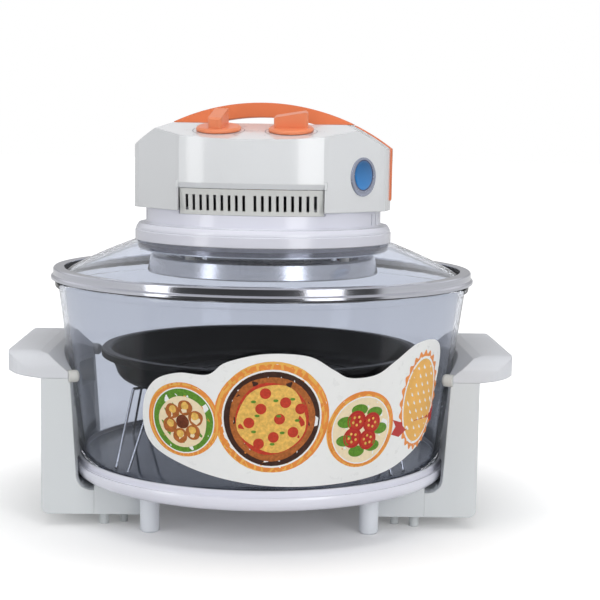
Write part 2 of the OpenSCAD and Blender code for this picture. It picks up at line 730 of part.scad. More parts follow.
// The slopes of the panel and of the back, over the whole width
module cover_roof(drop) {
    reach = cover_r + 10;
    fall = (reach + panel_back_y) * tan(panel_tilt);
    top = cover_top_z - drop;
    rotate([90, 0, 90]) linear_extrude(height = 2 * cut, center = true)
        polygon([[-reach, cover_z - 5], [-reach, top - fall], [panel_back_y, top],
            [-panel_back_y, top], [reach, top - fall], [reach, cover_z - 5]]);
}

module shoulder_slab(inset, y0, y1) {
    for (s = [-1, 1])
        translate([0, s * (y0 + y1) / 2, 0]) along_y((y1 - y0) / 2) intersection() {
            translate([0, arc_z]) circle(r = shoulder_r - inset, $fn = 240);
            translate([-cover_r + inset, cover_z - 5]) square([2 * (cover_r - inset), cut]);
        }
}

module cover_outer() {
    y0 = handle_w / 2 + ridge_pitch;
    intersection() {
        translate([0, 0, cover_z]) linear_extrude(height = cut) cover_plan(1);
        cover_roof(0);
        union() {
            shoulder_slab(0, -1, y0);
            shoulder_slab(ridge_step, y0 - 1, y0 + ridge_pitch);
            shoulder_slab(2 * ridge_step, y0 + ridge_pitch - 1, cut);
        }
    }
}

module cover_inner() {
    k = (cover_r - cover_wall) / cover_r;
    intersection() {
        translate([0, 0, cover_z - 1]) linear_extrude(height = cut) cover_plan(k);
        cover_roof(cover_wall);
        shoulder_slab(cover_wall + 2 * ridge_step, -1, cut);
    }
}

// A wedge of the front face, from height z0 to z1, seen from the arc's centre
module face_band(r_out0, r_out1, t, z0, z1, half_w) {
    intersection() {
        translate([0, front_arc_y, 0]) rotate_extrude($fn = 180) polygon([
            [r_out0 - t, z0], [r_out0, z0], [r_out1, z1], [r_out1 - t, z1]]);
        translate([-half_w, -cut, z0 - 1]) cube([2 * half_w, cut - 60, z1 - z0 + 2]);
    }
}

module trim_line(r_out, t, z_foot, x_from) {
    // section of a trim strip in X and Z: down the side and over the shoulder
    intersection() {
        difference() {
            intersection() {
                translate([0, arc_z]) circle(r = shoulder_r + r_out, $fn = 240);
                translate([0, z_foot]) square([cover_r + r_out, cut]);
            }
            intersection() {
                translate([0, arc_z]) circle(r = shoulder_r + r_out - t, $fn = 240);
                square([cover_r + r_out - t, 2 * cut]);
            }
        }
        translate([x_from, 0]) square([cut, 2 * cut]);
    }
}

module trim(side) {
    color([0.93, 0.49, 0.28]) lid_frame() on_side(side)
        along_y(handle_w / 2) trim_line(trim_proud, trim_t, trim_foot_z, handle_end_x + 1.5);
}

module vent_room() {
    top = cover_z + vent_h;
    face_band(front_arc_r + 5, front_arc_r + 5, 5 + vent_sink + vent_t + 4,
        cover_z - 2, top, face_half_w + 0.8);
    // the ledge over the vent panel slopes back
    difference() {
        face_band(front_arc_r + 5, front_arc_r + 5, 8, top - eps, top + ledge_h, face_half_w + 0.8);
        face_band(front_arc_r - 3, front_arc_r, 30, top - 2 * eps, top + ledge_h + 0.1, 80);
    }
}

module head_cover() {
    color([0.87, 0.87, 0.87]) lid_frame() difference() {
        union() {
            difference() {
                cover_outer();
                cover_inner();
                translate([0, 0, well_floor_z]) linear_extrude(height = cut)
                    round_rect(-well_x, well_x, -well_y, well_y, 8);
            }
            // finger well under the handle
            difference() {
                translate([0, 0, well_floor_z - cover_wall])
                    linear_extrude(height = cover_top_z - well_floor_z + cover_wall - 1)
                        round_rect(-well_x - cover_wall, well_x + cover_wall,
                            -well_y - cover_wall, well_y + cover_wall, 10);
                translate([0, 0, well_floor_z]) linear_extrude(height = cut)
                    round_rect(-well_x, well_x, -well_y, well_y, 8);
            }
            // guides for the handle's stems
            for (s = [-1, 1])
                translate([s * stem_x, 0, cover_top_z - bush_h]) cylinder(r = bush_r, h = bush_h - 1);
            // rib that holds the switch
            translate([stem_x - 12, switch_size[1] / 2 + seat, stem_foot_z - switch_size[2] + 2])
                cube([24, 2.4, cover_top_z - stem_foot_z + switch_size[2] - 4]);
            // shelf over the vent panel
            face_band(front_arc_r - 0.2, front_arc_r - 0.2, 12,
                cover_z + vent_h + 0.2, cover_z + vent_h + ledge_h + 1.6, face_half_w + 3);
        }
        for (s = [-1, 1]) {
            translate([s * stem_x, 0, cover_top_z - bush_h - 1])
                cylinder(r = stem_r + run, h = bush_h + 4);
            translate([s * knob_x, knob_y, knob_z]) rotate([panel_tilt, 0, 0])
                translate([0, 0, -8]) cylinder(r = unit_collar_r + 0.2, h = 12);
            on_side(s) along_y(handle_w / 2 + 0.1)
                trim_line(trim_proud + 0.05, trim_t + 0.15, trim_foot_z - 0.1, handle_end_x + 1.4);
        }
        vent_room();
    }
}

module vent_grille() {
    top = cover_z + vent_h - 0.15;
    foot_r = front_arc_r - vent_sink - 1.4;
    color([0.78, 0.79, 0.77]) lid_frame() difference() {
        face_band(foot_r, front_arc_r - 3.2, vent_t, cover_z - vent_drop, top, face_half_w);
        for (s = [-1, 1], i = [0:slots - 1])
            translate([s * (4.4 + i * slot_pitch) - slot_w / 2, -cover_front - 10, cover_z + 0.8])
                cube([slot_w, 40, slot_h]);
    }
}

module cord_gland() {
    flange_r = gland_r + 1.8;
    color([0.16, 0.16, 0.17]) lid_frame() translate([0, 0, gland_z]) rotate([-90, 0, 0]) difference() {
        union() {
            translate([0, 0, neck_r - 5]) cylinder(r = gland_r - run, h = 8);
            translate([0, 0, neck_r + 0.2]) cylinder(r = flange_r, h = 3);
            translate([0, 0, neck_r - 5.6]) cylinder(r = flange_r, h = 2.4);
        }
        translate([0, 0, neck_r - 8]) cylinder(r = gland_r - 2, h = 20);
    }
}

// ---- head: heater ----

module reflector() {
    out_r = lid_hole_r + 4;
    low_z = reflector_z - reflector_dish;
    color([0.72, 0.73, 0.74]) lid_frame() difference() {
        rotate_extrude() polygon([
            [shaft_r + 3, low_z], [lamp_r + 6, low_z], [lamp_r + 9.5, reflector_z],
            [out_r, reflector_z], [out_r, collar_z], [lamp_r + 9, collar_z],
            [lamp_r + 5.5, low_z + reflector_t], [shaft_r + 3, low_z + reflector_t]]);
        for (s = [-1, 1])
            rotate([0, 0, 90 + s * lamp_gap]) translate([lamp_r, 0, reflector_z - 6])
                cylinder(r = holder_r + 0.1, h = 12);
        rotate([0, 0, sensor_angle]) translate([sensor_circle, 0, reflector_z - 6])
            cylinder(r = sensor_r + run, h = 12);
    }
}

module guard_standoffs() {
    color([0.93, 0.92, 0.88]) lid_frame() for (a = standoff_angles)
        rotate([0, 0, a - 90]) translate([standoff_circle, 0, guard_top_z]) {
            cylinder(r = standoff_r, h = standoff_h);
            translate([0, 0, -2]) cylinder(r = 1.5, h = 3);
        }
}

module lamp_guard() {
    s = guard_sheet;
    top_r = guard_r - guard_taper;
    color([0.74, 0.75, 0.77]) lid_frame() difference() {
        union() {
            rotate_extrude() polygon([
                [guard_r - 10, guard_z], [guard_r, guard_z], [guard_r, guard_z + 1],
                [top_r + 0.6, guard_top_z - 1.6], [top_r - 0.4, guard_top_z],
                [standoff_circle - 5.5, guard_top_z], [standoff_circle - 5.5, guard_top_z - s],
                [top_r - 1.4, guard_top_z - s], [guard_r - s - 0.2, guard_z + s],
                [guard_r - 10, guard_z + s]]);
            for (r = mesh_rings)
                rotate_extrude($fn = 48)
                    translate([r, mesh_z + 2 * mesh_wire_r - 0.2]) circle(r = mesh_wire_r, $fn = 8);
            // spokes run from a hub disc to the ring's inner edge
            translate([0, 0, mesh_z - mesh_wire_r]) cylinder(r = 12, h = 2 * mesh_wire_r);
            for (a = [0:22.5:337.5])
                rotate([0, 90, a]) translate([-mesh_z, 0, 10])
                    cylinder(r = mesh_wire_r, h = guard_r - 17, $fn = 8);
        }
        for (a = standoff_angles)
            rotate([0, 0, a - 90]) translate([standoff_circle, 0, guard_top_z - 3])
                cylinder(r = 1.55, h = 4);
        rotate([0, 0, sensor_angle]) translate([sensor_circle, 0, guard_top_z - 3])
            cylinder(r = sensor_r + 0.8, h = 4);
    }
}

module halogen_lamp() {
    r = lamp_d / 2;
    color([0.9, 0.9, 0.93, 0.5]) lid_frame() union() {
        rotate([0, 0, 90 + lamp_gap]) rotate_extrude(angle = 360 - 2 * lamp_gap)
            translate([lamp_r, lamp_z]) circle(r = r, $fn = 32);
        for (s = [-1, 1]) rotate([0, 0, 90 + s * lamp_gap]) translate([lamp_r, 0, lamp_z]) {
            sphere(r = r, $fn = 32);
            cylinder(r = r, h = reflector_z - reflector_dish - 0.6 - lamp_z, $fn = 32);
        }
    }
}

module lamp_holders() {
    z0 = reflector_z - reflector_dish - 0.6;
    color([0.93, 0.92, 0.88]) lid_frame() for (s = [-1, 1])
        rotate([0, 0, 90 + s * lamp_gap]) translate([lamp_r, 0, z0]) {
            cylinder(r = holder_r, h = head_floor_z + head_floor_t + 2 - z0);
            translate([0, 0, reflector_z + 0.2 - z0])
                cylinder(r = holder_r + 1, h = head_floor_z - reflector_z - 0.4);
        }
}

module sensor_probe() {
    foot_z = guard_z + 5;
    color([0.72, 0.6, 0.4]) lid_frame() rotate([0, 0, sensor_angle])
        translate([sensor_circle, 0, foot_z]) cylinder(r = sensor_r, h = head_floor_z + 4 - foot_z);
}

// ---- head: motor and controls ----

module motor_stator() {
    color([0.5, 0.5, 0.53]) lid_frame() difference() {
        translate([-stator_size[0] / 2, -stator_size[1] / 2, stator_z]) cube(stator_size);
        translate([0, 0, stator_z - 1]) cylinder(r = rotor_r + air_gap, h = stator_size[2] + 2);
        // window that the coil is wound through
        translate([-stator_size[0] / 2 + 9, 18, stator_z - 1]) cube([stator_size[0] - 18, 3, 30]);
    }
}

module motor_coil() {
    color([0.72, 0.38, 0.2]) lid_frame() difference() {
        translate([-17, 18.2, stator_z - 4]) cube([34, 12, stator_size[2] + 8]);
        translate([-20, 21, stator_z - 0.1]) cube([40, 4.1, stator_size[2] + 0.2]);
    }
}

// Two bridges with the shaft's bearings, on four columns
module motor_bracket() {
    cx = stator_size[0] / 2 + 4;
    cy = 12;
    color([0.66, 0.67, 0.68]) lid_frame() difference() {
        union() {
            for (z = [bearing_low_z, bearing_high_z])
                translate([-cx - 4, -cy - 4, z]) cube([2 * cx + 8, 2 * cy + 8, bearing_t]);
            for (x = [-cx, cx], y = [-cy, cy])
                translate([x, y, bracket_z])
                    cylinder(r = 3.4, h = bearing_high_z + bearing_t - bracket_z);
            for (x = [-cx, cx])
                translate([x - 4.5, -cy, stator_z - 2])
                    cube([9, 2 * cy, 2]);
        }
        translate([0, 0, bearing_low_z - 1]) cylinder(r = shaft_r + run, h = 60);
        // the bridges are open round the bearings
        for (z = [bearing_low_z - 1, bearing_high_z - 1], s = [-1, 1])
            translate([s * 20, 0, z]) cylinder(r = 8, h = bearing_t + 2);
    }
}

module control_unit(side, size, tone) {
    color(tone) knob_frame(side) difference() {
        union() {
            translate([-size[0] / 2, -size[1] / 2, -cover_wall - 0.1 - size[2]]) cube(size);
            translate([0, 0, -cover_wall - 0.2]) cylinder(r = unit_collar_r, h = cover_wall);
            for (x = [-8, 0, 8])
                translate([x - 3, size[1] / 2 - 8, -cover_wall - size[2] - 7])
                    cube([1, 6, 7.5]);
        }
        translate([0, 0, -16]) cylinder(r = control_shaft_r + run, h = 30);
    }
}

module safety_switch() {
    color([0.12, 0.12, 0.13]) lid_frame() difference() {
        translate([stem_x - switch_size[0] / 2, -switch_size[1] / 2,
            stem_foot_z - 1.2 - switch_size[2]]) cube(switch_size);
        translate([stem_x, 0, stem_foot_z - 1.2 - switch_size[2] + 2.5])
            cylinder(r = plunger_r + run, h = switch_size[2]);
    }
}

// The pin that the handle's stem presses down
module switch_plunger() {
    foot_z = stem_foot_z - 1.2 - switch_size[2] + 3;
    color([0.93, 0.49, 0.28]) lid_frame() translate([stem_x, 0, foot_z])
        cylinder(r = plunger_r, h = stem_foot_z - seat - foot_z, $fn = 32);
}

module head_screws() {
    color([0.6, 0.6, 0.6]) lid_frame() for (a = [10:60:310])
        rotate([0, 0, a]) translate([lid_hole_r + 1.4, 0, reflector_z - 1.8]) {
            cylinder(r = 2.4, h = 1.8, $fn = 32);
        }
}

// ---- parts that the user moves ----

module carry_handle() {
    top = cover_top_z + handle_rise;
    under_z = top - handle_t;
    half = handle_w / 2;
    base_z = cover_top_z + seat;
    color([0.93, 0.49, 0.28]) lid_frame() union() {
        along_y(half) difference() {
            intersection() {
                translate([0, arc_z]) circle(r = handle_arc_r, $fn = 240);
                translate([-handle_end_x, base_z]) square([2 * handle_end_x, 40]);
            }
            intersection() {
                translate([0, under_z - handle_under_r]) circle(r = handle_under_r, $fn = 240);
                translate([-60, base_z - 1]) square([120, 40]);
            }
        }
        for (s = [-1, 1])
            translate([s * stem_x, 0, stem_foot_z]) cylinder(r = stem_r, h = base_z - stem_foot_z + 0.5);
    }
}

// Clips on the stems stop the handle at the top of its travel
module stem_clips() {
    z = cover_top_z - bush_h - handle_travel - clip_t - 0.1;
    color([0.7, 0.7, 0.7]) lid_frame() for (s = [-1, 1])
        translate([s * stem_x, 0, z]) difference() {
            cylinder(r = clip_r, h = clip_t);
            translate([0, 0, -1]) cylinder(r = stem_r + 0.02, h = clip_t + 2);
            translate([-1.5, 0, -1]) cube([3, 20, clip_t + 2]);
        }
}

module knob(side, turn) {
    r = knob_d / 2;
    color([0.93, 0.49, 0.28]) knob_frame(side) rotate([0, 0, turn]) difference() {
        union() {
            translate([0, 0, knob_gap]) rotate_extrude()
                polygon([[0, 0], [r - 0.4, 0], [r, 0.6], [r, 1.6], [r - 1.4, knob_disc_t - 0.4],
                    [r - 4, knob_disc_t], [0, knob_disc_t]]);
            // the fin is higher at its pointer end
            translate([0, 0, knob_gap + knob_disc_t - eps]) intersection() {
                along_y(fin_w / 2) polygon([[-fin_l / 2, 0], [fin_l / 2, 0],
                    [fin_l / 2, knob_fin_h - 1], [fin_l / 2 - 2, knob_fin_h],
                    [-fin_l / 2 + 2, knob_fin_h - 3.6], [-fin_l / 2, knob_fin_h - 5]]);
                linear_extrude(height = knob_fin_h + 1)
                    round_rect(-fin_l / 2, fin_l / 2, -fin_w / 2, fin_w / 2, 2.4);
            }
        }
        translate([0, 0, -1]) cylinder(r = control_shaft_r + 0.02, h = 1 + knob_bore);
    }
}

module control_shaft(side, turn) {
    color([0.75, 0.75, 0.75]) knob_frame(side) rotate([0, 0, turn]) difference() {
        translate([0, 0, -14]) cylinder(r = control_shaft_r, h = 14 + knob_bore - 0.5, $fn = 48);
        translate([1.6, -5, 2]) cube([5, 10, 12]);
    }
}

// ---- parts that the motor turns ----

module motor_shaft() {
    color([0.75, 0.75, 0.75]) lid_frame() translate([0, 0, hot_fan_z - 1.5])
        cylinder(r = shaft_r, h = cool_fan_z + cool_fan_h + 1.5 - hot_fan_z + 1.5, $fn = 48);
}

module motor_rotor() {
    color([0.55, 0.55, 0.57]) lid_frame() translate([0, 0, stator_z + 0.5]) difference() {
        cylinder(r = rotor_r, h = stator_size[2] - 1);
        translate([0, 0, -1]) cylinder(r = shaft_r + 0.02, h = stator_size[2] + 2);
    }
}

// A hub with tilted blades
module fan(r_hub, r_tip, h, tilt, t) {
    difference() {
        union() {
            cylinder(r = r_hub, h = h);
            for (i = [0:blades - 1]) rotate([0, 0, i * 360 / blades]) intersection() {
                translate([r_hub - 1, 0, h / 2]) rotate([tilt, 0, 0])
                    translate([0, -t / 2, -h]) cube([r_tip - r_hub + 1, t, 2 * h]);
                ring(1, r_tip, 0.4, h - 0.4);
            }
        }
        translate([0, 0, -1]) cylinder(r = shaft_r + 0.02, h = h + 2);
    }
}

module hot_air_fan() {
    color([0.76, 0.77, 0.78]) lid_frame() translate([0, 0, hot_fan_z])
        fan(9, hot_fan_r, hot_fan_h, 40, 1.2);
}

module cooling_fan() {
    color([0.3, 0.3, 0.32]) lid_frame() translate([0, 0, cool_fan_z])
        fan(8, cool_fan_r, cool_fan_h, 40, 1.4);
}

// ---- nodes ----

base_dish();
dish_ring();
heat_plate();
leg(-1, -1);  // leg_front_left
leg(1, -1);  // leg_front_right
leg(-1, 1);  // leg_rear_left
leg(1, 1);  // leg_rear_right
post(-1);  // left_post
post(1);  // right_post
post_foot(-1);  // left_post_foot
post_foot(1);  // right_post_foot
grip(-1);  // left_grip
grip(1);  // right_grip
bumper(-1, -1);  // bumper_front_left
bumper(1, -1);  // bumper_front_right
bumper(-1, 1);  // bumper_rear_left
bumper(1, 1);  // bumper_rear_right
stand_screws();
glass_bowl();
wire_rack();
baking_pan();
lid_glass();
lid_rim();
lid_gasket();
retaining_ring();
head_base();
head_cover();
vent_grille();
trim(-1);  // left_trim
trim(1);  // right_trim
cord_gland();
reflector();
lamp_guard();
guard_standoffs();
halogen_lamp();
lamp_holders();
sensor_probe();
motor_stator();
motor_coil();
motor_bracket();
control_unit(-1, unit_size, [0.85, 0.85, 0.82]);  // timer_unit
control_unit(1, [unit_size[0] - 6, unit_size[1] - 4, unit_size[2] - 5], [0.72, 0.73, 0.74]);  // thermostat_unit
safety_switch();
switch_plunger();
head_screws();
carry_handle();
stem_clips();
knob(-1, 84);  // timer_knob
control_shaft(-1, 84);  // timer_shaft
knob(1, 4);  // thermostat_knob
control_shaft(1, 4);  // thermostat_shaft
motor_shaft();
motor_rotor();
hot_air_fan();
cooling_fan();
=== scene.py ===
import math

import bpy
from mathutils import Matrix, Vector
from mathutils.geometry import delaunay_2d_cdt


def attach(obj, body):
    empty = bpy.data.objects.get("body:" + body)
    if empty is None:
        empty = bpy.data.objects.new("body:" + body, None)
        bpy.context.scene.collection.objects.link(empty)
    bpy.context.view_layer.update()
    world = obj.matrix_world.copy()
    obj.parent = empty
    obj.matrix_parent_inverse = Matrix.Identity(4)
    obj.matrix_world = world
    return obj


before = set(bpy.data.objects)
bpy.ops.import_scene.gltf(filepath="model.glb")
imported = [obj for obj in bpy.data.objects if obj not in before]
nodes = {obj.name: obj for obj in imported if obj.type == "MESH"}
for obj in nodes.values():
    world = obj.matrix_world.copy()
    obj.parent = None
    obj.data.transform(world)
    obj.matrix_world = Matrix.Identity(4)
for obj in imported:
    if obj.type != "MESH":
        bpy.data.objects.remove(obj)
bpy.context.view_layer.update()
scene = bpy.context.scene

MM = 0.001
LID_TURN = math.radians(-6.6)

# ---------------------------------------------------------------- measures that the CAD model shares
BOWL_TILT = math.tan(math.radians(7.3))
BOWL_TOP_R, BEAD_Z = 171.5, 190.2
COVER_Z = 257.19
COVER_TOP = COVER_Z + 69.5
PANEL_TILT = math.radians(11)
KNOB_X, KNOB_Y = 29.0, -68.0
KNOB_Z = COVER_TOP + (KNOB_Y + 37) * math.tan(PANEL_TILT)


def bowl_r(z):
    return BOWL_TOP_R - (BEAD_Z - z) * BOWL_TILT


def srgb(r, g, b):
    def one(c):
        c /= 255
        return c / 12.92 if c <= 0.04045 else ((c + 0.055) / 1.055) ** 2.4
    return (one(r), one(g), one(b), 1.0)


# ---------------------------------------------------------------- materials
NOISE_LOW, NOISE_HIGH = 0.3, 0.7    # where a noise is taken to begin and to end
RELIEF = 0.0004                     # the depth of the grain and of the glass's waves, in metres
GLOSS_SWING = 0.03                  # how far the grain moves the roughness either way
GLASS_IOR = 1.45


def new_material(name):
    m = bpy.data.materials.new(name)
    m.use_nodes = True
    nt = m.node_tree
    nt.nodes.clear()
    out = nt.nodes.new("ShaderNodeOutputMaterial")
    p = nt.nodes.new("ShaderNodeBsdfPrincipled")
    nt.links.new(p.outputs[0], out.inputs[0])
    return m, nt, p


def coords(nt, scale=(1, 1, 1)):
    tc = nt.nodes.new("ShaderNodeTexCoord")
    mp = nt.nodes.new("ShaderNodeMapping")
    mp.inputs["Scale"].default_value = scale
    nt.links.new(tc.outputs["Object"], mp.inputs["Vector"])
    return mp.outputs[0]


def noise(nt, vec, scale, detail=3.0, rough=0.5):
    n = nt.nodes.new("ShaderNodeTexNoise")
    n.inputs["Scale"].default_value = scale
    n.inputs["Detail"].default_value = detail
    n.inputs["Roughness"].default_value = rough
    nt.links.new(vec, n.inputs["Vector"])
    return n.outputs["Fac"]


def feed(nt, value, socket):
    """Sets a socket to a number, or links another node's output to it."""
    if isinstance(value, (int, float)):
        socket.default_value = value
    else:
        nt.links.new(value, socket)


def maths(nt, operation, *values, clamp=False):
    n = nt.nodes.new("ShaderNodeMath")
    n.operation = operation
    n.use_clamp = clamp
    for value, socket in zip(values, n.inputs):
        feed(nt, value, socket)
    return n.outputs[0]


def remap(nt, value, from_lo, from_hi, to_lo=0.0, to_hi=1.0, smooth=False):
    r = nt.nodes.new("ShaderNodeMapRange")
    if smooth:
        r.interpolation_type = "SMOOTHSTEP"
    r.inputs["From Min"].default_value = from_lo
    r.inputs["From Max"].default_value = from_hi
    r.inputs["To Min"].default_value = to_lo
    r.inputs["To Max"].default_value = to_hi
    nt.links.new(value, r.inputs["Value"])
    return r.outputs[0]


def spread(nt, value, a, b):
    """The middle of a noise, spread from a to b."""
    return remap(nt, value, NOISE_LOW, NOISE_HIGH, a, b)


def tint(nt, value, a, b):
    r = nt.nodes.new("ShaderNodeValToRGB")
    r.color_ramp.elements[0].position = NOISE_LOW
    r.color_ramp.elements[1].position = NOISE_HIGH
    r.color_ramp.elements[0].color = a
    r.color_ramp.elements[1].color = b
    nt.links.new(value, r.inputs[0])
    return r.outputs[0]


def shade(c, k):
    return (min(1, c[0] * k), min(1, c[1] * k), min(1, c[2] * k), 1.0)


def finish_of(name, color, rough, vary=0.03, grain=900.0, bump=0.02, metallic=0.0, edge=0.0,
              coat=0.0, spec=0.5, stretch=(1, 1, 1), cloud=14.0):
    """A moulded, cast or rolled surface: slow colour drift, fine grain in gloss and relief, soft edges."""
    m, nt, p = new_material(name)
    vec = coords(nt, stretch)
    slow = noise(nt, vec, cloud, 2.0)
    nt.links.new(tint(nt, slow, shade(color, 1 - vary), shade(color, 1 + vary)), p.inputs["Base Color"])
    fine = noise(nt, vec, grain, 2.0)
    nt.links.new(spread(nt, fine, rough - GLOSS_SWING, rough + GLOSS_SWING), p.inputs["Roughness"])
    p.inputs["Metallic"].default_value = metallic
    p.inputs["Specular IOR Level"].default_value = spec
    p.inputs["Coat Weight"].default_value = coat
    p.inputs["Coat Roughness"].default_value = 0.08
    b = nt.nodes.new("ShaderNodeBump")
    b.inputs["Strength"].default_value = bump
    b.inputs["Distance"].default_value = RELIEF
    nt.links.new(fine, b.inputs["Height"])
    if edge:
        e = nt.nodes.new("ShaderNodeBevel")
        e.samples = 4
        e.inputs["Radius"].default_value = edge
        nt.links.new(e.outputs[0], b.inputs["Normal"])
    nt.links.new(b.outputs[0], p.inputs["Normal"])
    return m


def glass(name, color, rough=0.0, shadow=0.85, ior=1.04, wave=0.03, coat=0.5):
    """Clear moulded glass: faint drift in its tint, and shadows that let light through.

    The walls are thin, so they hardly bend the view; a coat gives them the shine of glass."""
    m, nt, p = new_material(name)
    vec = coords(nt)
    slow = noise(nt, vec, 9.0, 2.0)
    nt.links.new(tint(nt, slow, shade(color, 0.99), shade(color, 1.01)), p.inputs["Base Color"])
    p.inputs["Roughness"].default_value = rough
    p.inputs["IOR"].default_value = ior
    p.inputs["Transmission Weight"].default_value = 1.0
    p.inputs["Coat Weight"].default_value = coat
    p.inputs["Coat IOR"].default_value = GLASS_IOR
    p.inputs["Coat Roughness"].default_value = rough
    b = nt.nodes.new("ShaderNodeBump")
    b.inputs["Strength"].default_value = wave
    b.inputs["Distance"].default_value = RELIEF
    nt.links.new(noise(nt, vec, 9.0, 1.0), b.inputs["Height"])
    nt.links.new(b.outputs[0], p.inputs["Normal"])
    lp = nt.nodes.new("ShaderNodeLightPath")
    t = nt.nodes.new("ShaderNodeBsdfTransparent")
    t.inputs[0].default_value = (shadow, shadow, shadow, 1)
    mix = nt.nodes.new("ShaderNodeMixShader")
    unseen = maths(nt, "MAXIMUM", lp.outputs["Is Shadow Ray"], lp.outputs["Is Diffuse Ray"])
    nt.links.new(unseen, mix.inputs[0])
    nt.links.new(p.outputs[0], mix.inputs[1])
    nt.links.new(t.outputs[0], mix.inputs[2])
    out = [n for n in nt.nodes if n.type == "OUTPUT_MATERIAL"][0]
    nt.links.new(mix.outputs[0], out.inputs[0])
    return m


def plain(name, color, rough=0.35, vary=0.08, scale=160.0):
    """Printed ink or paper with a slight mottle."""
    m, nt, p = new_material(name)
    n = noise(nt, coords(nt), scale, 4.0, 0.6)
    nt.links.new(tint(nt, n, shade(color, 1 - vary), shade(color, 1 + vary)), p.inputs["Base Color"])
    nt.links.new(spread(nt, n, rough - 0.04, rough + 0.04), p.inputs["Roughness"])
    return m


M = {
    "cover": finish_of("cover_white", srgb(233, 235, 237), 0.2, vary=0.006, grain=1400, bump=0.008,
                       edge=0.0012, coat=0.5),
    "vent": finish_of("vent_grey", srgb(219, 220, 217), 0.34, vary=0.01, grain=1400, bump=0.02, edge=0.0005),
    "ring": finish_of("ring_lavender", srgb(234, 235, 246), 0.22, vary=0.006, grain=1200, bump=0.01,
                      edge=0.0008, coat=0.3),
    "post": finish_of("post_grey", srgb(224, 228, 230), 0.36, vary=0.008, grain=1600, bump=0.03, edge=0.0012),
    "grip": finish_of("grip_grey", srgb(223, 225, 230), 0.38, vary=0.008, grain=1600, bump=0.03, edge=0.0018),
    "leg": finish_of("leg_grey", srgb(240, 244, 250), 0.3, vary=0.01, grain=1300, bump=0.02, edge=0.0008),
    "orange": finish_of("orange_plastic", srgb(247, 136, 88), 0.36, vary=0.02, grain=1500, bump=0.03,
                        edge=0.0012),
    "knob": finish_of("knob_orange", srgb(241, 142, 98), 0.34, vary=0.02, grain=1500, bump=0.03, edge=0.0008),
    "black": finish_of("black_plastic", srgb(44, 44, 46), 0.45, vary=0.1, bump=0.05),
    "enamel": finish_of("black_enamel", srgb(11, 11, 12), 0.34, vary=0.10, grain=1300, bump=0.02,
                        edge=0.0008, cloud=30, spec=0.12),
    "steel": finish_of("rim_steel", srgb(212, 214, 223), 0.14, vary=0.03, grain=260, bump=0.01, metallic=1.0,
                       stretch=(1, 1, 30), edge=0.0006),
    "chrome": finish_of("wire_chrome", srgb(214, 216, 220), 0.12, vary=0.03, grain=900, bump=0.01,
                        metallic=1.0),
    "guard": finish_of("guard_steel", srgb(178, 178, 180), 0.2, vary=0.05, grain=300, bump=0.015,
                       metallic=1.0, stretch=(1, 1, 20)),
    "alloy": finish_of("alloy_sheet", srgb(188, 190, 194), 0.3, vary=0.05, grain=300, bump=0.03,
                       metallic=1.0),
    "zinc": finish_of("zinc_sheet", srgb(170, 172, 174), 0.35, vary=0.08, grain=60, bump=0.03, metallic=1.0),
    # a darker steel for the retaining ring, darkened further as painted shade for the dim band under the head
    "dark_steel_and_shade": finish_of("dark_steel_and_shade", srgb(112, 112, 116), 0.16, vary=0.05, grain=300, bump=0.015,
                            metallic=1.0),
    # the heat plate's dark grey is painted shadow: a sheet set where the bowl's see-through bottom shows only
    # shade
    "painted_shadow_grey": finish_of("slate_metal", srgb(98, 106, 120), 0.5, vary=0.05, grain=700, bump=0.05, cloud=22),
    "stack": finish_of("iron_stack", srgb(110, 110, 114), 0.45, vary=0.08, grain=200, bump=0.2,
                       metallic=0.8, stretch=(1, 1, 40)),
    "copper": finish_of("copper_wire", srgb(190, 110, 64), 0.34, vary=0.1, grain=500, bump=0.3,
                        metallic=0.9, stretch=(1, 1, 12)),
    "silicone": finish_of("dark_silicone", srgb(58, 58, 60), 0.55, vary=0.08, bump=0.05),
    "soft": finish_of("pale_rubber", srgb(226, 226, 222), 0.5, vary=0.02, bump=0.05, edge=0.0005),
    "ceramic": finish_of("white_ceramic", srgb(238, 236, 228), 0.5, vary=0.03, grain=700, bump=0.1),
    "glass": glass("bowl_glass", (0.655, 0.68, 0.74, 1)),
    "lid_glass": glass("lid_glass", (0.80, 0.83, 0.90, 1), wave=0.004, coat=0.6),
    "quartz": glass("quartz", (0.98, 0.98, 0.98, 1), rough=0.12, shadow=0.9, ior=GLASS_IOR,
                    coat=0.0),
}
LOOK = {
    "base_dish": "ring", "dish_ring": "ring", "heat_plate": "painted_shadow_grey", "stand_screws": "zinc",
    "glass_bowl": "glass",
    "wire_rack": "chrome", "baking_pan": "enamel", "lid_glass": "lid_glass", "lid_rim": "steel",
    "lid_gasket": "silicone", "retaining_ring": "dark_steel_and_shade", "head_base": "ring", "head_cover": "cover",
    "vent_grille": "vent", "left_trim": "orange", "right_trim": "orange", "cord_gland": "black",
    "reflector": "alloy", "lamp_guard": "guard", "guard_standoffs": "ceramic", "halogen_lamp": "quartz",
    "lamp_holders": "ceramic", "sensor_probe": "copper", "motor_stator": "stack", "motor_coil": "copper",
    "motor_bracket": "zinc", "timer_unit": "soft", "thermostat_unit": "zinc", "safety_switch": "black",
    "switch_plunger": "orange", "head_screws": "zinc", "carry_handle": "orange", "stem_clips": "zinc",
    "timer_knob": "knob", "timer_shaft": "zinc", "thermostat_knob": "knob", "thermostat_shaft": "zinc",
    "motor_shaft": "zinc", "motor_rotor": "stack", "hot_air_fan": "alloy", "cooling_fan": "black",
}
for name, obj in nodes.items():
    look = LOOK.get(name)
    if look is None:
        look = "post" if "post" in name else "grip" if "grip" in name else "leg" if "leg" in name else "soft"
    for s in obj.material_slots:
        s.material = M[look]

# ---------------------------------------------------------------- tools for prints and reliefs
def lid_point(x, y, z):
    """A point of the lid's own frame, in mm, as a place in the scene."""
    c, s = math.cos(LID_TURN), math.sin(LID_TURN)
    return Vector(((x * c - y * s) * MM, (x * s + y * c) * MM, z * MM))


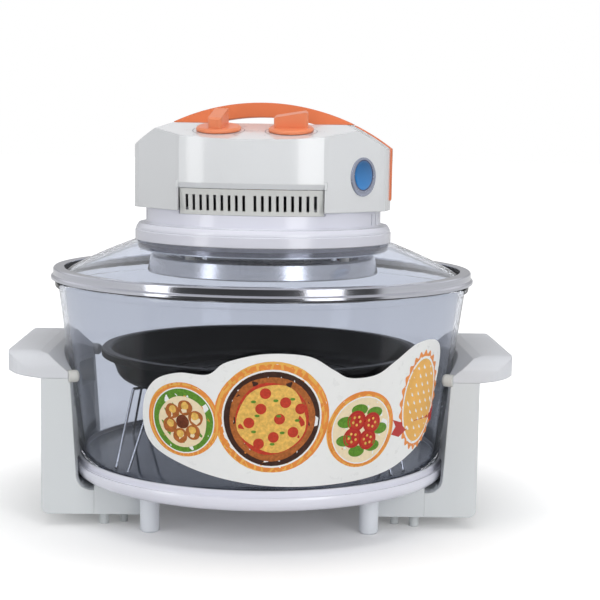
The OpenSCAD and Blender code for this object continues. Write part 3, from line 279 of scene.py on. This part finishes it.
def filled(outline, spacing):
    """Triangles inside an outline, with points every `spacing` so that the patch can bend."""
    pts = [Vector(p) for p in outline]
    n = len(pts)
    xs, ys = [p.x for p in pts], [p.y for p in pts]

    def inside(q, margin):
        hit = False
        for i in range(n):
            a, b = pts[i], pts[(i + 1) % n]
            if (a.y > q.y) != (b.y > q.y) and q.x < (b.x - a.x) * (q.y - a.y) / (b.y - a.y) + a.x:
                hit = not hit
            ab = b - a
            t = max(0, min(1, (q - a).dot(ab) / max(ab.length_squared, 1e-9)))
            if (a + ab * t - q).length < margin:
                return False
        return hit
    extra = []
    y = min(ys) + spacing / 2
    row = 0
    while y < max(ys):
        x = min(xs) + (spacing / 2 if row % 2 else 0)
        while x < max(xs):
            q = Vector((x, y))
            if inside(q, spacing * 0.35):
                extra.append(q)
            x += spacing
        y += spacing * 0.87
        row += 1
    out = delaunay_2d_cdt(pts + extra, [(i, (i + 1) % n) for i in range(n)], [], 1, 1e-5)
    return out[0], out[2]


class Sheet:
    """Collects flat printed shapes and turns them into one mesh on a curved surface."""

    STEP = 0.02      # between the levels of the print, in mm

    def __init__(self, name, place, base):
        self.name, self.place, self.base = name, place, base
        self.verts, self.faces, self.slots, self.mats = [], [], [], []

    def add(self, outline, mat, level, spacing=8.0):
        vs, fs = filled(outline, spacing)
        if mat not in self.mats:
            self.mats.append(mat)
        k, start = self.mats.index(mat), len(self.verts)
        for v in vs:
            self.verts.append(self.place(v.x, v.y, self.base + self.STEP * level))
        for f in fs:
            self.faces.append([start + i for i in f])
            self.slots.append(k)

    def build(self, body):
        me = bpy.data.meshes.new(self.name)
        me.from_pydata(self.verts, [], self.faces)
        for m in self.mats:
            me.materials.append(m)
        for p, k in zip(me.polygons, self.slots):
            p.material_index = k
            p.use_smooth = True
        o = bpy.data.objects.new(self.name, me)
        scene.collection.objects.link(o)
        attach(o, body)
        return o


def circle(cx, cy, r, n=48, ry=None):
    ry = ry or r
    return [(cx + r * math.cos(2 * math.pi * i / n), cy + ry * math.sin(2 * math.pi * i / n))
            for i in range(n)]


def blob(cx, cy, r, wobble, seed, n=36):
    pts = []
    for i in range(n):
        a = 2 * math.pi * i / n
        k = 1 + wobble * (math.sin(3 * a + seed) * 0.6 + math.sin(5 * a + seed * 2.3) * 0.4)
        pts.append((cx + r * k * math.cos(a), cy + r * k * math.sin(a)))
    return pts


def smooth_loop(ctrl, per=8):
    """A closed Catmull-Rom curve through control points."""
    n, pts = len(ctrl), []
    for i in range(n):
        p0, p1, p2, p3 = (Vector(ctrl[(i + k - 1) % n]) for k in range(4))
        for j in range(per):
            t = j / per
            pts.append(tuple(0.5 * ((2 * p1) + (p2 - p0) * t + (2 * p0 - 5 * p1 + 4 * p2 - p3) * t * t
                                    + (3 * p1 - p0 - 3 * p2 + p3) * t ** 3)))
    return pts


# ---------------------------------------------------------------- printed decal on the bowl
DECAL_R = 163.0                  # the radius that the decal's widths are measured at, in mm
D = math.radians(1) * DECAL_R    # one degree round the bowl, in mm


def on_bowl(u, v, off):
    """u is the azimuth times DECAL_R, from the front towards +X; v is the height."""
    a = u / DECAL_R
    r = bowl_r(v) + off
    return (r * math.sin(a) * MM, -r * math.cos(a) * MM, v * MM)


paper = plain("print_white", srgb(240, 241, 240), 0.3, 0.01)
ink_orange = plain("print_orange", srgb(233, 142, 62), 0.3, 0.08, 90)
ink_gold = plain("print_gold", srgb(236, 178, 84), 0.3, 0.10, 60)
ink_red = plain("print_red", srgb(186, 44, 40), 0.3, 0.06, 90)
ink_crust = plain("print_crust", srgb(176, 100, 44), 0.35, 0.30, 420)
ink_brown = plain("print_brown", srgb(112, 54, 30), 0.35, 0.45, 500)
ink_cheese = plain("print_cheese", srgb(232, 186, 92), 0.35, 0.22, 380)
ink_tomato = plain("print_tomato", srgb(196, 58, 36), 0.35, 0.20, 500)
ink_green = plain("print_green", srgb(96, 146, 44), 0.35, 0.25, 500)
ink_dark = plain("print_dark", srgb(70, 44, 34), 0.35, 0.3, 300)
ink_cream = plain("print_cream", srgb(240, 222, 186), 0.35, 0.06, 300)

sheet = Sheet("bowl_decal", on_bowl, 0.30)
# the white patch: degrees round the bowl and heights in mm
PATCH = [(-34, 96), (-33, 118), (-29, 133), (-22, 140), (-14, 140), (-9, 150), (1, 157), (12, 155), (19, 144),
         (24, 137), (32, 138), (38, 147), (46, 159), (55, 159), (59, 146), (58.5, 112), (56, 82), (47, 66),
         (36, 57), (20, 53.5), (4, 54), (-10, 59), (-22, 68), (-31, 80)]
sheet.add(smooth_loop([(a * D, z) for a, z in PATCH], 8), paper, 0, 7)


def medallion(cx, cy, r, seed, back):
    for k in range(5):
        a = seed + k * 2 * math.pi / 5
        ink = ink_orange if k % 2 == 0 else ink_gold
        sheet.add(circle(cx + 0.05 * r * math.cos(a), cy + 0.05 * r * math.sin(a), r * 1.06, 44,
                         ry=r * (1.03 + 0.03 * math.sin(a))), ink, 1 + 0.2 * k, 9)
    sheet.add(circle(cx, cy, r * 0.955, 44), paper, 3, 9)
    sheet.add(circle(cx, cy, r * 0.92, 44), back, 4, 9)


# a round flat bread with slices and leaves, seen from above
cx, cy, r = 3 * D, 107, 40
medallion(cx, cy, r, 0.3, ink_dark)
sheet.add(blob(cx, cy, r * 0.82, 0.02, 1.0), ink_crust, 5, 8)
sheet.add(blob(cx, cy, r * 0.70, 0.03, 2.0), ink_tomato, 6, 8)
sheet.add(blob(cx, cy, r * 0.66, 0.06, 4.0), ink_cheese, 7, 8)
for i in range(9):
    a = i * 2.4
    rr = r * (0.14 + 0.43 * math.sqrt(i / 8))
    sheet.add(circle(cx + rr * math.cos(a), cy + rr * math.sin(a), r * 0.105, 20), ink_tomato, 8 + 0.1 * i, 9)
    sheet.add(circle(cx + rr * math.cos(a + 0.5), cy + rr * math.sin(a + 0.5) * 0.9, r * 0.05, 10,
                     ry=r * 0.028), ink_green, 9.5 + 0.1 * i, 9)
# a tray of rolls
cx, cy, r = -21.5 * D, 103, 27
medallion(cx, cy, r, 1.1, ink_green)
sheet.add(blob(cx, cy - 1, r * 0.74, 0.03, 5.0), ink_cream, 5, 8)
for i in range(6):
    a = i * math.pi / 3 + 0.3
    sheet.add(blob(cx + r * 0.42 * math.cos(a), cy - 1 + r * 0.42 * math.sin(a), r * 0.22, 0.04, i),
              ink_crust, 6 + 0.1 * i, 9)
    sheet.add(blob(cx + r * 0.40 * math.cos(a), cy + 0.5 + r * 0.42 * math.sin(a), r * 0.11, 0.08, i + 2),
              ink_cheese, 7 + 0.1 * i, 9)
sheet.add(blob(cx, cy - 1, r * 0.2, 0.04, 3), ink_brown, 8, 9)
# halved tomatoes and leaves
cx, cy, r = 29 * D, 95, 28
medallion(cx, cy, r, 2.0, ink_cream)
for i in range(7):
    a = i * 2 * math.pi / 7
    sheet.add(circle(cx + r * 0.6 * math.cos(a), cy + r * 0.6 * math.sin(a), r * 0.26, 22, ry=r * 0.16),
              ink_green, 5 + 0.1 * i, 9)
for i in range(4):
    a = i * math.pi / 2 + 0.6
    tx, ty = cx + r * 0.36 * math.cos(a), cy + r * 0.34 * math.sin(a)
    sheet.add(circle(tx, ty, r * 0.29, 26), ink_red, 6 + 0.1 * i, 9)
    sheet.add(circle(tx, ty, r * 0.22, 24), ink_tomato, 7 + 0.1 * i, 9)
    for k in range(5):
        b = k * 2 * math.pi / 5 + i
        sheet.add(circle(tx + r * 0.12 * math.cos(b), ty + r * 0.12 * math.sin(b), r * 0.04, 8),
                  ink_cheese, 8 + 0.1 * i, 9)
# a plain scalloped seal with a ribbon
cx, cy = 50.5 * D, 112
turns = [2 * math.pi * i / 144 for i in range(144)]
sheet.add([(cx + (24 + 1.4 * math.cos(24 * t)) * math.cos(t),
            cy + (39 + 1.8 * math.cos(24 * t)) * math.sin(t)) for t in turns], ink_orange, 1, 8)
sheet.add(circle(cx, cy, 21.5, 48, ry=35.5), paper, 2, 8)
sheet.add(circle(cx, cy, 20, 48, ry=33.5), ink_gold, 3, 8)
sheet.add([(cx - 31, cy - 24), (cx - 22, cy - 27), (cx + 24, cy - 20), (cx + 24, cy - 8), (cx - 22, cy - 15),
           (cx - 31, cy - 12), (cx - 27, cy - 18)], ink_red, 5, 8)
sheet.build("bowl")

# ---------------------------------------------------------------- badge on the cover's slanting side
def steel_blue(name, color):
    """Blue that darkens towards the top, by the height in the lid's rest position."""
    m, nt, p = new_material(name)
    vec = coords(nt)
    sx = nt.nodes.new("ShaderNodeSeparateXYZ")
    nt.links.new(vec, sx.inputs[0])
    height = remap(nt, sx.outputs["Z"], 0.272, 0.298)
    c = nt.nodes.new("ShaderNodeValToRGB")
    c.color_ramp.elements[0].color = shade(color, 1.5)
    c.color_ramp.elements[1].color = shade(color, 0.55)
    nt.links.new(height, c.inputs[0])
    nt.links.new(c.outputs[0], p.inputs["Base Color"])
    nt.links.new(spread(nt, noise(nt, vec, 300, 2), 0.12, 0.2), p.inputs["Roughness"])
    p.inputs["Coat Weight"].default_value = 0.6
    return m


badge_blue = steel_blue("badge_blue", srgb(40, 122, 190))
badge_silver = finish_of("badge_silver", srgb(172, 178, 196), 0.25, vary=0.05, grain=300, bump=0.02,
                         metallic=0.7)
badge_dark = plain("badge_dark", srgb(60, 74, 110), 0.35, 0.05)

DIAG_X, DIAG_Y = 60.5, -85.5                 # where the right slanting side begins, in the lid's frame
DIAG_U = Vector((38.3, 43.3)).normalized()   # along it, towards the back


def on_slant(u, v, off):
    x = DIAG_X + DIAG_U.x * u + DIAG_U.y * off
    y = DIAG_Y + DIAG_U.y * u - DIAG_U.x * off
    return lid_point(x, y, v)


def raised(name, place, cx, cy, rings, body):
    """An oval plate built from rings: each is (half width, half height, shift up, lift, material)."""
    seg = 64
    verts, faces, mats, slots = [], [], [], []
    for rx, ry, dy, lift, mat in rings:
        for i in range(seg):
            a = 2 * math.pi * i / seg
            verts.append(place(cx + rx * math.cos(a), cy + dy + ry * math.sin(a), lift))
        if mat not in mats:
            mats.append(mat)
    for k in range(len(rings) - 1):
        for i in range(seg):
            j = (i + 1) % seg
            faces.append((k * seg + i, k * seg + j, (k + 1) * seg + j, (k + 1) * seg + i))
            slots.append(mats.index(rings[k + 1][4]))
    faces.append([(len(rings) - 1) * seg + i for i in range(seg)])
    slots.append(mats.index(rings[-1][4]))
    me = bpy.data.meshes.new(name)
    me.from_pydata(verts, [], faces)
    for m in mats:
        me.materials.append(m)
    for f, k in zip(me.polygons, slots):
        f.material_index = k
        f.use_smooth = True
    o = bpy.data.objects.new(name, me)
    scene.collection.objects.link(o)
    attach(o, body)
    return o


BADGE_SHIFT = 1.4      # the blue field sits this much above the plate's middle
raised("cover_badge", on_slant, 38.8, 285.4, [
    (14.2, 15.6, 0, 0.02, badge_silver), (14.2, 15.6, 0, 0.5, badge_silver),
    (13.8, 15.2, 0, 0.8, badge_silver),
    (10.7, 12.4, BADGE_SHIFT, 0.8, badge_silver), (10.4, 12.1, BADGE_SHIFT, 0.6, badge_dark),
    (9.9, 11.6, BADGE_SHIFT, 0.6, badge_dark), (9.7, 11.4, BADGE_SHIFT, 0.75, badge_blue),
    (8.0, 9.4, BADGE_SHIFT, 1.0, badge_blue), (5.0, 5.9, BADGE_SHIFT, 1.25, badge_blue),
    (0.8, 0.9, BADGE_SHIFT, 1.4, badge_blue)], "lid")

# ---------------------------------------------------------------- prints round the knobs
ink_grey = plain("print_grey", srgb(86, 88, 98), 0.4, 0.05)


def band(r0, r1, a0, a1):
    """A strip between two radii, from one angle to the other in degrees."""
    n = 14
    a0, a1 = math.radians(a0), math.radians(a1)
    steps = [a0 + (a1 - a0) * i / n for i in range(n + 1)]
    return [(r1 * math.cos(a), r1 * math.sin(a)) for a in steps] + \
           [(r0 * math.cos(a), r0 * math.sin(a)) for a in steps[::-1]]


def figures(sheet, text, cx, cy, size, mat, level):
    """Plain figures from the built-in typeface, flattened into the sheet."""
    cu = bpy.data.curves.new("figures", "FONT")
    cu.body, cu.size = text, size
    cu.align_x, cu.align_y = "CENTER", "CENTER"
    cu.resolution_u = 3
    o = bpy.data.objects.new("figures", cu)
    scene.collection.objects.link(o)
    bpy.context.view_layer.update()
    me = o.evaluated_get(bpy.context.evaluated_depsgraph_get()).to_mesh()
    if mat not in sheet.mats:
        sheet.mats.append(mat)
    k, start = sheet.mats.index(mat), len(sheet.verts)
    for v in me.vertices:
        sheet.verts.append(sheet.place(cx + v.co.x, cy + v.co.y, sheet.base + sheet.STEP * level))
    for f in me.polygons:
        sheet.faces.append([start + i for i in f.vertices])
        sheet.slots.append(k)
    bpy.data.objects.remove(o)
    bpy.data.curves.remove(cu)


def on_panel(side):
    def place(u, v, off):
        c, n = math.cos(PANEL_TILT), math.sin(PANEL_TILT)
        return lid_point(side * KNOB_X + u, KNOB_Y + v * c - off * n, KNOB_Z + v * n + off * c)
    return place


WHOLE = 50      # a spacing wider than any mark, so that it gets no points inside
ARCS, TICKS = 4, 7
for side, label, first, last in ((-1, "timer", 230, -50), (1, "thermostat", 225, -45)):
    dial = Sheet(label + "_dial", on_panel(side), 0.04)
    for k in range(ARCS):
        a0 = first + (last - first) * (k + 0.06) / ARCS
        a1 = first + (last - first) * (k + 0.94) / ARCS
        dial.add(band(20.3, 21.0, a0, a1), ink_grey, 0, WHOLE)
    for k in range(TICKS):
        a = math.radians(first + (last - first) * k / (TICKS - 1))
        ca, sa = math.cos(a), math.sin(a)
        dial.add([(22.0 * ca - 0.3 * sa, 22.0 * sa + 0.3 * ca), (22.0 * ca + 0.3 * sa, 22.0 * sa - 0.3 * ca),
                  (24.0 * ca + 0.3 * sa, 24.0 * sa - 0.3 * ca), (24.0 * ca - 0.3 * sa, 24.0 * sa + 0.3 * ca)],
                 ink_grey, 0, WHOLE)
        text = str(10 * k) if side < 0 else str(k)
        figures(dial, text, 26.2 * ca, 26.0 * sa, 3.0, ink_grey, 0)
    dial.build("lid")

# ---------------------------------------------------------------- studio
FLOOR_GREY = 0.86


def floor_material():
    m, nt, p = new_material("studio_floor")
    nt.nodes.remove(p)
    out = [n for n in nt.nodes if n.type == "OUTPUT_MATERIAL"][0]
    d = nt.nodes.new("ShaderNodeBsdfDiffuse")
    e = nt.nodes.new("ShaderNodeEmission")
    e.inputs[0].default_value = (1, 1, 1, 1)
    lp = nt.nodes.new("ShaderNodeLightPath")
    glossy, through = lp.outputs["Is Glossy Ray"], lp.outputs["Is Transmission Ray"]
    tc = nt.nodes.new("ShaderNodeTexCoord")
    sep = nt.nodes.new("ShaderNodeSeparateXYZ")
    nt.links.new(tc.outputs["Object"], sep.inputs[0])
    ln = nt.nodes.new("ShaderNodeVectorMath")
    ln.operation = "LENGTH"
    nt.links.new(tc.outputs["Object"], ln.inputs[0])
    distance = ln.outputs["Value"]
    # seen directly or through glass, it goes white beyond the shadow's reach
    far = remap(nt, distance, 0.04, 0.50, 0.06, 0.80, smooth=True)
    white = maths(nt, "MULTIPLY", maths(nt, "MAXIMUM", lp.outputs["Is Camera Ray"], through), far)
    # reflections see it as dark before the object and bright at its sides, where the light falls
    side = remap(nt, maths(nt, "DIVIDE", sep.outputs["Y"], distance), -0.52, -0.42, smooth=True)
    grey = nt.nodes.new("ShaderNodeMix")
    grey.data_type = "FLOAT"
    nt.links.new(glossy, grey.inputs["Factor"])
    grey.inputs["A"].default_value = FLOOR_GREY
    nt.links.new(remap(nt, side, 0.0, 1.0, 0.10, 0.44), grey.inputs["B"])
    nt.links.new(grey.outputs[0], d.inputs[0])
    mirror = maths(nt, "SUBTRACT", glossy, through, clamp=True)
    glow = maths(nt, "MULTIPLY_ADD", maths(nt, "MULTIPLY", side, mirror), 0.45, white)
    nt.links.new(glow, e.inputs[1])
    add = nt.nodes.new("ShaderNodeAddShader")
    nt.links.new(d.outputs[0], add.inputs[0])
    nt.links.new(e.outputs[0], add.inputs[1])
    nt.links.new(add.outputs[0], out.inputs[0])
    return m


me = bpy.data.meshes.new("studio_floor")
me.from_pydata([(-20, -20, 0), (20, -20, 0), (20, 20, 0), (-20, 20, 0)], [], [(0, 1, 2, 3)])
me.materials.append(floor_material())
floor = bpy.data.objects.new("studio_floor", me)
scene.collection.objects.link(floor)

world = bpy.data.worlds.new("studio")
scene.world = world
world.use_nodes = True
nt = world.node_tree
nt.nodes.clear()
out = nt.nodes.new("ShaderNodeOutputWorld")
# the world that lights the set, the white that the camera sees, and the room that reflections see
lit = nt.nodes.new("ShaderNodeBackground")
lit.inputs[0].default_value = (0.985, 0.99, 1.0, 1)
lit.inputs[1].default_value = 0.40
seen = nt.nodes.new("ShaderNodeBackground")
seen.inputs[0].default_value = (1, 1, 1, 1)
seen.inputs[1].default_value = 1.0
refl = nt.nodes.new("ShaderNodeBackground")
tc = nt.nodes.new("ShaderNodeTexCoord")
sep = nt.nodes.new("ShaderNodeSeparateXYZ")
nt.links.new(tc.outputs["Generated"], sep.inputs[0])
ramp = nt.nodes.new("ShaderNodeValToRGB")
nt.links.new(remap(nt, sep.outputs["Z"], -0.2, 1.0), ramp.inputs[0])
els = ramp.color_ramp.elements
els[0].position, els[0].color = 0.0, (0.55, 0.56, 0.58, 1)
els[1].position, els[1].color = 1.0, (0.6, 0.6, 0.62, 1)
for pos, v in ((0.17, 0.62), (0.25, 0.42), (0.36, 0.5), (0.5, 0.85), (0.75, 0.6)):
    el = els.new(pos)
    el.color = (v, v, v * 1.02, 1)
nt.links.new(ramp.outputs[0], refl.inputs[0])
# the room is dim in front of the object, where the softboxes' light does not fall
nt.links.new(remap(nt, sep.outputs["Y"], -0.97, -0.30, 0.22, 1.0, smooth=True), refl.inputs[1])
lp = nt.nodes.new("ShaderNodeLightPath")
mix1 = nt.nodes.new("ShaderNodeMixShader")
mix2 = nt.nodes.new("ShaderNodeMixShader")
see = maths(nt, "MAXIMUM", lp.outputs["Is Camera Ray"], lp.outputs["Is Transmission Ray"])
nt.links.new(lp.outputs["Is Glossy Ray"], mix1.inputs[0])
nt.links.new(lit.outputs[0], mix1.inputs[1])
nt.links.new(refl.outputs[0], mix1.inputs[2])
nt.links.new(see, mix2.inputs[0])
nt.links.new(mix1.outputs[0], mix2.inputs[1])
nt.links.new(seen.outputs[0], mix2.inputs[2])
nt.links.new(mix2.outputs[0], out.inputs[0])


AIM = Vector((0, 0, 0.18))


def softbox(name, azimuth, elevation, dist, w, h, power):
    a, e = math.radians(azimuth), math.radians(elevation)
    at = AIM + dist * Vector((math.sin(a) * math.cos(e), -math.cos(a) * math.cos(e), math.sin(e)))
    light = bpy.data.lights.new(name, "AREA")
    light.shape = "RECTANGLE"
    light.size, light.size_y = w, h
    light.energy = power
    o = bpy.data.objects.new(name, light)
    o.location = at
    o.rotation_mode = "QUATERNION"
    o.rotation_quaternion = (AIM - at).to_track_quat("-Z", "Y")
    scene.collection.objects.link(o)
    return o


softbox("box_left", -54, 12, 1.7, 0.40, 1.5, 6)
softbox("box_right", 31, 12, 1.8, 0.62, 1.5, 11)
softbox("box_top", 0, 80, 1.6, 1.3, 1.0, 10).visible_glossy = False

# ---------------------------------------------------------------- camera
# fitted to the photo
CAMERA_AT = Vector((0, -1.1789, 0.3147))
yaw, pitch, roll = math.radians(1.561), math.radians(6.608), math.radians(0.962)
fwd = Vector((math.sin(yaw) * math.cos(pitch), math.cos(yaw) * math.cos(pitch), -math.sin(pitch)))
right = Vector((math.cos(yaw), -math.sin(yaw), 0))
up = right.cross(fwd)
R = right * math.cos(roll) + up * math.sin(roll)
U = -right * math.sin(roll) + up * math.cos(roll)
cam_data = bpy.data.cameras.new("camera")
cam_data.sensor_width = 36
cam_data.lens = 83.33
cam_data.clip_start, cam_data.clip_end = 0.01, 100
cam = bpy.data.objects.new("camera", cam_data)
scene.collection.objects.link(cam)
cam.matrix_world = Matrix(((R.x, U.x, -fwd.x, CAMERA_AT.x), (R.y, U.y, -fwd.y, CAMERA_AT.y),
                           (R.z, U.z, -fwd.z, CAMERA_AT.z), (0, 0, 0, 1)))
scene.camera = cam
scene.view_settings.view_transform = "Standard"
